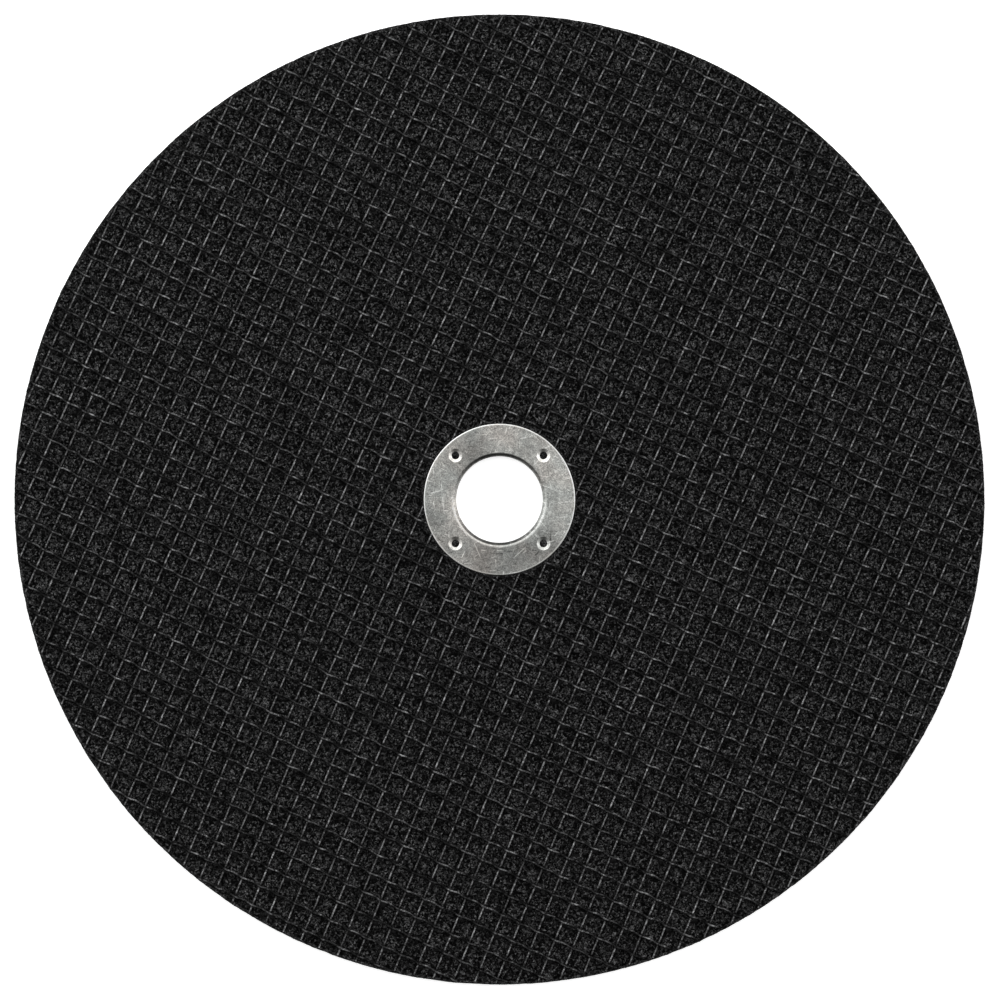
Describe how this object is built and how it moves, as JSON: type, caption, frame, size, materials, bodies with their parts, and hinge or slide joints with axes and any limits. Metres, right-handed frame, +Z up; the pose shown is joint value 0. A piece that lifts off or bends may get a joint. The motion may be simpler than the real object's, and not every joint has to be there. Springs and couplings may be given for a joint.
{
  "type": "cut-off wheel",
  "caption": "Thin resin-bonded abrasive disc with a glass-fibre mesh in low relief on its faces and a pressed steel arbor ring round its bore, for cutting metal.",
  "frame": {"origin": "on the bore's axis, on the surface that the wheel lies on", "axes": "+Z up the bore's axis, out of the face with the ring's flange; +Y is the picture's up and +X its right"},
  "size_m": [0.25, 0.25, 0.0031],
  "materials": {
    "abrasive": "rough charcoal black grain in resin",
    "mesh": "glass strands coated in black resin, slightly glossy on their crowns",
    "ring_steel": "dull zinc-grey pressed sheet with fine scratches"
  },
  "bodies": {
    "root": {"abrasive_disc": "abrasive", "front_mesh": "mesh", "back_mesh": "mesh", "arbor_ring": "ring_steel"}
  },
  "joints": []
}
